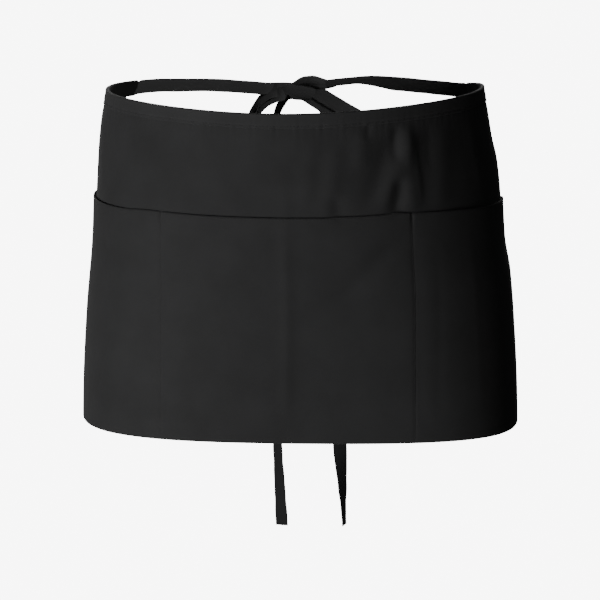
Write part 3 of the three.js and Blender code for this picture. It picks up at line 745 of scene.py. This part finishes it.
# %% Panel
CLOTH, SIDE_HEM = 1.0, 9.0
MOUTH = PANEL_DROP - POCKET_HEIGHT
PANEL_BOTTOM = PANEL_DROP - 1.5
FINE_FOLDS = {
    "high": [0.21, 0.24, 0.181, 0.2, 0.05, -0.12, -0.25, -0.36, 0.33, 0.02, 0.135],
    "low": [0.215, 0.235, 0.177, 0.199, 0.03, -0.1, -0.27, -0.35, 0.345, -0.01, 0.132],
    "from": [0.1, 0.05, 0.045, 0.045, 0.06, 0.05, 0.05, 0.06, 0.05, 0.1, 0.04],
    "to": [0.3, 0.2, 0.17, 0.2, 0.3, 0.26, 0.3, 0.34, 0.34, 0.33, 0.09],
    "width": [0.006, 0.007, 0.007, 0.008, 0.012, 0.02, 0.02, 0.014, 0.012, 0.02, 0.006],
    "rise": [0.14, -0.12, -0.34, 0.2, 0.12, 0.16, -0.16, 0.14, 0.14, -0.1, -0.2],
}


def panel_piece():
    """The sheet between two faces: a fine relief moves both, and the turned-in side edges and
    the top under the band thicken the inner one."""
    around = np.linspace(PANEL_LEFT, PANEL_RIGHT, 420)[:, None]
    drop = np.linspace(UNDER_BAND, PANEL_BOTTOM, 110)[None, :]
    fine = fold_rise(around, drop, FINE_FOLDS, FOLD_DEPTH)
    gather = 0.22 * pucker(around, 1.0) * np.exp(-np.maximum(drop - BAND_HEIGHT, 0) / 7)
    relief = (fine + gather) * fade(0, 0.06, (MOUTH - drop) / PANEL_DROP)
    edge = np.minimum(around - PANEL_LEFT, PANEL_RIGHT - around)
    hem = fade(SIDE_HEM + 0.5, SIDE_HEM - 0.5, edge)
    outer = on_cloth(around, drop, relief + CLOTH / 2)
    inner = on_cloth(around, drop, relief - CLOTH / 2 - 0.5 * hem)
    uv = np.stack(np.broadcast_arrays(around, drop), axis=-1)
    return skin("panel", face_to_face(outer, inner), face_to_face(uv, uv))


panel = panel_piece()

# %% [markdown]
# ## The pocket
#
# The pocket is a second sheet over the lower two thirds of the panel, sewn down at both sides
# and along two dividers, which makes three pouches. Between the seams its mouth stands a little
# open. Its lower edge is folded round the bottom of the panel and turned up inside.

# %% Pocket
SEAMS = np.array([-0.5 * PANEL_WIDTH, -0.5 * DIVIDER_SPACING, 0.5 * DIVIDER_SPACING,
                  0.5 * PANEL_WIDTH]) + PANEL_TURN
GROOVES = (0.12, 0.28)
TURN_UP = 12.0
WALL_OUT, BOTTOM_OUT = 0.9, 1.9
POCKET_FOLDS = {
    "high": [0.24, 0.3, 0.2, 0.0, -0.21, 0.19],
    "low": [0.235, 0.31, 0.205, 0.0, -0.21, 0.06],
    "from": [0.33, 0.33, 0.31, 0.31, 0.31, 0.36],
    "to": [0.99, 0.99, 0.99, 0.99, 0.7, 0.62],
    "width": [0.008, 0.008, 0.01, 0.008, 0.01, 0.03],
    "rise": [-0.05, 0.05, -0.08, 0.06, -0.06, -0.1],
}
MOUTH_LINE = {
    "around": [-260, -230, -173, -135, 95, 108, 163, 198, 230, 260],
    "lower": [3, 3, 2.5, 0, 0, 0.8, 4, 5.8, 6.4, 6.4],
}


def mouth_at(around):
    """The mouth's drop: level in front, and a little lower at both sides, where it hangs."""
    return MOUTH + read(MOUTH_LINE, "around", "lower", around)


def gape(around, down):
    """How far the pocket stands off: sin^0.6 between each two seams, fading as (1 - down)^2."""
    i = np.clip(np.searchsorted(SEAMS, around) - 1, 0, 2)
    between = np.clip((around - SEAMS[i]) / (SEAMS[i + 1] - SEAMS[i]), 0, 1)
    return POCKET_GAPE * np.maximum(np.sin(np.pi * between), 0) ** 0.6 * (1 - down) ** 2


def pocket_piece():
    """A J in section: the wall, the fold round the panel's bottom edge, and the turn-up. The
    wall dips along each divider, and its hem puckers."""
    around = np.linspace(PANEL_LEFT, PANEL_RIGHT, 640)[:, None]
    down = np.linspace(0, 1, 84)[None, :]
    wall = blend(mouth_at(around), PANEL_BOTTOM, down)
    below = wall - mouth_at(around)
    relief = fold_rise(around, wall, POCKET_FOLDS, FOLD_DEPTH)
    for seam, groove in zip(SEAMS[1:3], GROOVES):
        pinch = groove + 0.9 * np.exp(-((below / 9) ** 4))
        relief = relief - pinch * np.exp(-(((around - seam) / 1.3) ** 2))
    lip = np.exp(-below / 5.0)
    relief = relief + 0.12 * lip * pucker(around / 1.7, 4.0)
    stand = WALL_OUT + gape(around, down) + relief
    arc = np.linspace(0, np.pi, 9)[1:-1]
    bend_drop = PANEL_BOTTOM + 1.5 * np.sin(arc)
    bend_out = BOTTOM_OUT * np.cos(arc)
    up = np.linspace(PANEL_BOTTOM, PANEL_BOTTOM - TURN_UP, 10)
    wide = lambda line: np.broadcast_to(line, (len(around), len(line)))
    rest = wide(np.concatenate([bend_out, np.full(len(up), -BOTTOM_OUT)]))
    drop = np.concatenate([wall, wide(bend_drop), wide(up)], axis=1)
    outer = on_cloth(around, drop, np.concatenate([stand + CLOTH, rest], axis=1))
    inner_rest = wide(np.concatenate([0.45 * bend_out, np.full(len(up), -WALL_OUT)]))
    inner_drop = np.concatenate([wall, wide(PANEL_BOTTOM + 0.4 * np.sin(arc)), wide(up)], axis=1)
    inner = on_cloth(around, inner_drop, np.concatenate([stand, inner_rest], axis=1))
    uv = [np.stack(np.broadcast_arrays(around, d), -1) for d in (drop, inner_drop)]
    return skin("pocket", face_to_face(outer, inner), face_to_face(*uv))


pocket = pocket_piece()

# %% Pocket seams and bartacks
def pocket_out(around, drop):
    """The outer face of the pocket, away from its seams' grooves."""
    down = (drop - mouth_at(around)) / (PANEL_BOTTOM - mouth_at(around))
    return WALL_OUT + gape(around, down) + CLOTH


def bartack(where, drop, out, height=9.0, width=2.4):
    """A dense zigzag that locks a seam's end: short threads across, stacked down the cloth."""
    down = drop + np.arange(0, height, 0.55)
    left = on_cloth(where - width / 2, down, out)
    right = on_cloth(where + width / 2, down, out)
    return left, right, on_cloth(where, down, out + 1) - on_cloth(where, down, out)


seams = []
for where, groove in zip(SEAMS[1:3], GROOVES):
    down = np.arange(MOUTH + 10, PANEL_BOTTOM - 1, 0.5)
    seams.append(seam_on_cloth(where, down, pocket_out(where, down) - groove))
    seams.append(bartack(where, MOUTH + 1.0, 1.1, width=1.8))
for where in (SEAMS[0] + 4, SEAMS[3] - 4):
    down = np.arange(mouth_at(where) + 1, PANEL_BOTTOM - 1, 0.5)
    seams.append(seam_on_cloth(where, down, pocket_out(where, down)))
pocket_thread = stitches("pocket_stitches", *(np.concatenate(k) for k in zip(*seams)))
# The stitches along the mouth. Their lighter thread is a painted highlight on the mouth's rim.
around = np.arange(SEAMS[0] + 1, SEAMS[3] - 1, 0.5)
rim = mouth_at(around) + 1.4
mouth_thread = stitches("mouth_stitches", *seam_on_cloth(around, rim, pocket_out(around, rim)))

edges = []
for where in (PANEL_LEFT + SIDE_HEM - 1.5, PANEL_RIGHT - SIDE_HEM + 1.5):
    down = np.arange(BAND_HEIGHT + 1, MOUTH - 1, 0.5)
    edges.append(seam_on_cloth(where, down, CLOTH / 2))
corners = [bartack(where, BAND_HEIGHT - 11, 2.0, height=8.0)
           for where in (PANEL_LEFT - 10, PANEL_RIGHT + 10)]
panel_thread = stitches("panel_stitches", *(np.concatenate(k) for k in zip(*(edges + corners))))

# %% [markdown]
# ## The cloth
#
# The cloth is black twill: threads that cross in fine slanting ribs, matt, with a soft sheen at
# the edges. The ribs are half a millimetre wide, too fine for geometry, so they are a bump. The
# pattern follows the UV map, which is in metres, so it bends with every fold.

# %% Shader maths
class Wire:
    """A socket in a material's tree. The usual operators add Math nodes, and node() adds any
    other one from its type, its settings and its sockets' values or wires."""

    def __init__(self, tree, socket=None):
        self.tree, self.socket = tree, socket

    def node(self, kind, settings, inputs, output=0):
        made = self.tree.nodes.new(kind)
        for key, value in settings.items():
            setattr(made, key, value)
        for key, value in inputs.items():
            if isinstance(value, Wire):
                self.tree.links.new(value.socket, made.inputs[key])
            else:
                made.inputs[key].default_value = value
        return Wire(self.tree, made.outputs[output] if made.outputs else None)

    def maths(self, operation, *values):
        return self.node("ShaderNodeMath", {"operation": operation}, dict(enumerate(values)))

    def __add__(self, other):
        return self.maths("ADD", self, other)

    def __sub__(self, other):
        return self.maths("SUBTRACT", self, other)

    def __mul__(self, other):
        return self.maths("MULTIPLY", self, other)


def mix_colour(factor, first, second):
    """first where factor is 0, second where it is 1."""
    a, b = (c if isinstance(c, Wire) else (*c, 1.0) for c in (first, second))
    settings = {"data_type": "RGBA"}
    return factor.node("ShaderNodeMix", settings, {0: factor, 6: a, 7: b}, output=2)


# %% Twill
def twill(name, tone, rib=0.9, roughness=0.86, mottle=0.3):
    """Black twill. Ribs are a sine of (along + across) / rib; the tone is mottled by a soft
    noise and flecked by a fine one, and roughness follows the ribs."""
    material = bpy.data.materials.new(name)
    material.use_nodes = True
    tree = material.node_tree
    tree.nodes.clear()
    start = Wire(tree)
    place = start.node("ShaderNodeUVMap", {"uv_map": "cloth"}, {})
    parts = [place.node("ShaderNodeSeparateXYZ", {}, {0: place}, output=i) for i in (0, 1)]
    slant = (parts[0] + parts[1]) * (2 * math.pi / (rib * MM))
    ribs = slant.maths("SINE", slant) * 0.5 + 0.5
    solid = start.node("ShaderNodeTexCoord", {}, {}, output=3)
    cloud = start.node("ShaderNodeTexNoise", {}, {"Vector": solid, "Scale": 28.0, "Detail": 4.0})
    fleck = start.node("ShaderNodeTexNoise", {}, {"Vector": solid, "Scale": 900.0, "Detail": 2.0})
    dark = tuple(tone * (1 - mottle) for _ in range(3))
    light = (tone * (1 + mottle), tone * (1 + mottle), tone * (1 + mottle) * 1.03)
    shade = cloud * 0.75 + fleck * 0.35 + ribs * 0.1 - 0.1
    colour = mix_colour(shade, dark, light)
    height = ribs * 0.6 + fleck * 0.5
    bump = height.node(
        "ShaderNodeBump", {}, {"Strength": 0.35, "Distance": 0.0001, "Height": height}
    )
    shader = start.node(
        "ShaderNodeBsdfPrincipled", {},
        {"Base Color": colour, "Roughness": ribs * -0.04 + roughness, "Normal": bump,
         "Specular IOR Level": 0.3, "Sheen Weight": 0.12, "Sheen Roughness": 0.5},
    )
    start.node("ShaderNodeOutputMaterial", {"target": "ALL"}, {"Surface": shader})
    print(name, len(tree.nodes), "nodes")
    return material


panel_cloth = twill("panel_twill", 0.030)
pocket_cloth = twill("pocket_twill", 0.030)
# The band's tone is set a little lighter than the panel's: painted light, standing in for the
# brighter light on the band.
band_cloth = twill("band_twill_painted_light", 0.034, rib=0.8)
tie_cloth = twill("tie_twill", 0.018, rib=0.8)

# %% Thread
def thread_finish(name, tone, roughness):
    """Polyester thread: a twist of fine bands across each stitch gives it a faint sparkle."""
    material = bpy.data.materials.new(name)
    material.use_nodes = True
    tree = material.node_tree
    tree.nodes.clear()
    start = Wire(tree)
    solid = start.node("ShaderNodeTexCoord", {}, {}, output=3)
    twist = start.node("ShaderNodeTexNoise", {}, {"Vector": solid, "Scale": 1600.0})
    colour = mix_colour(twist, (tone * 0.7,) * 3, (tone * 1.3,) * 3)
    shader = start.node(
        "ShaderNodeBsdfPrincipled", {},
        {"Base Color": colour, "Roughness": twist * 0.2 + roughness, "Specular IOR Level": 0.4},
    )
    start.node("ShaderNodeOutputMaterial", {"target": "ALL"}, {"Surface": shader})
    return material


thread_black = thread_finish("black_thread", 0.024, 0.6)
# A lighter thread for the pocket mouth's stitches: a painted highlight along the mouth's rim.
thread_rim_highlight = thread_finish("rim_highlight_thread", 0.05, 0.6)

# %% Dress each piece
finishes = {
    panel: (panel_cloth, "panel_cloth"),
    panel_thread: (thread_black, "panel_cloth"),
    pocket: (pocket_cloth, "pocket_cloth"),
    pocket_thread: (thread_black, "pocket_cloth"),
    # Painted highlight: the mouth's stitches take the lighter thread.
    mouth_thread: (thread_rim_highlight, "pocket_cloth"),
    band: (band_cloth, "band_cloth"),
    band_thread: (thread_black, "band_cloth"),
}
ties = [tie_left, tie_right, knot, bow_loop_left, bow_loop_right, end_left, end_right]
tie_threads = [tie_left_thread, tie_right_thread, bow_loop_left_thread, bow_loop_right_thread,
               end_left_thread, end_right_thread]
finishes.update({piece: (tie_cloth, "tie_cloth") for piece in ties})
finishes.update({piece: (thread_black, "tie_cloth") for piece in tie_threads})
for piece, (material, slot) in finishes.items():
    piece.data.materials.append(material)
    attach(piece, "root")
print(len(finishes), "pieces dressed")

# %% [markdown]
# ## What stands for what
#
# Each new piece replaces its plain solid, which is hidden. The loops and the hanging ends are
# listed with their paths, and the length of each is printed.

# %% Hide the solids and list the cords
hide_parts("apron_panel")
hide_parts("pocket_panel")
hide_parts("waistband")
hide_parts("tie_left")
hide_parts("tie_right")
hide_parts("bow_knot")
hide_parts("bow_loop_left")
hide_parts("bow_loop_right")
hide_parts("tie_end_left")
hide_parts("tie_end_right")

cords = [
    (bow_loop_left, bow_loop_left_thread, loop_left_frames, "object", "loose"),
    (bow_loop_right, bow_loop_right_thread, loop_right_frames, "object", "loose"),
    (end_left, end_left_thread, end_left_frames, "bare", "hanging"),
    (end_right, end_right_thread, end_right_frames, "bare", "hanging"),
]
for piece, threads, frames, far_end, lay in cords:
    path = frames[0] * MM
    print(piece.name, round(length_of(path) * 1000), "mm long")

PANEL_DROP * MM

# %% [markdown]
# ## The studio
#
# The photograph has a clean white ground and soft light that comes mostly from the left. The
# floor and the sky glow white for the camera alone, so that the black cloth is lit only by the
# lamps. The main lamp stands low, so that the front of the apron shades the bow behind it. One
# lamp lights only the ties and the bow, and a small one lies inside the wrap, out of sight.

# %% Floor and sky
GLOW, SKY_LIGHT = 8.0, 0.02
FLOOR, FLOOR_REACH = -0.46, 9
white = bpy.data.materials.new("floor_white")
white.use_nodes = True
white.node_tree.nodes.clear()
start = Wire(white.node_tree)
glow = start.node("ShaderNodeEmission", {}, {"Color": (1, 1, 1, 1), "Strength": GLOW})
start.node("ShaderNodeOutputMaterial", {"target": "ALL"}, {"Surface": glow})

mesh = bpy.data.meshes.new("floor")
signs = [(-1, -1), (1, -1), (1, 1), (-1, 1)]
mesh.from_pydata([(FLOOR_REACH * x, FLOOR_REACH * y, FLOOR) for x, y in signs], [], [range(4)])
floor = link("floor", mesh)
mesh.materials.append(white)
floor.visible_diffuse = floor.visible_glossy = floor.visible_shadow = False

sky = bpy.data.worlds.new("sky")
sky.use_nodes = True
sky.node_tree.nodes.clear()
start = Wire(sky.node_tree)
seen = start.node("ShaderNodeLightPath", {}, {})
light = start.node("ShaderNodeBackground", {}, {"Strength": seen * GLOW + SKY_LIGHT})
start.node("ShaderNodeOutputWorld", {"target": "ALL"}, {"Surface": light})
bpy.context.scene.world = sky

# %% Lamps
LAMP_AIM = np.array([0, 0, -0.2])


def lamp(name, place, size, watts, only=None):
    """A soft lamp of a size (width, height) that looks at the apron, all in metres. only limits
    what it lights."""
    data = bpy.data.lights.new(name, "AREA")
    data.shape, data.energy = "RECTANGLE", watts
    data.size, data.size_y = size
    fixture = bpy.data.objects.new(name, data)
    fixture.location = place
    fixture.visible_camera = False
    to_apron = LAMP_AIM - np.array(place)
    pitch = math.atan2(math.hypot(to_apron[0], to_apron[1]), -to_apron[2])
    fixture.rotation_euler = (pitch, 0, math.atan2(-to_apron[0], to_apron[1]))
    bpy.context.scene.collection.objects.link(fixture)
    if only:
        lit = bpy.data.collections.new(name + "_lights")
        for piece in only:
            lit.objects.link(piece)
        fixture.light_linking.receiver_collection = lit


lamp("key", (-1.25, -1.5, -0.3), (1.5, 0.5), 28)
lamp("soft_back", (0.0, 2.6, 0.9), (1.6, 1.0), 26)
lamp("within", (0.1, 0.0, -0.05), (0.1, 0.05), 0.15)
lamp("soft_front", (-0.3, -3.0, 0.9), (1.6, 1.0), 5)
inside = [tie_left, tie_left_thread, knot, bow_loop_left, bow_loop_left_thread, bow_loop_right,
          bow_loop_right_thread, tie_right, tie_right_thread]
lamp("inside_left", (1.2, -1.4, 1.2), (0.8, 0.8), 42, only=inside)
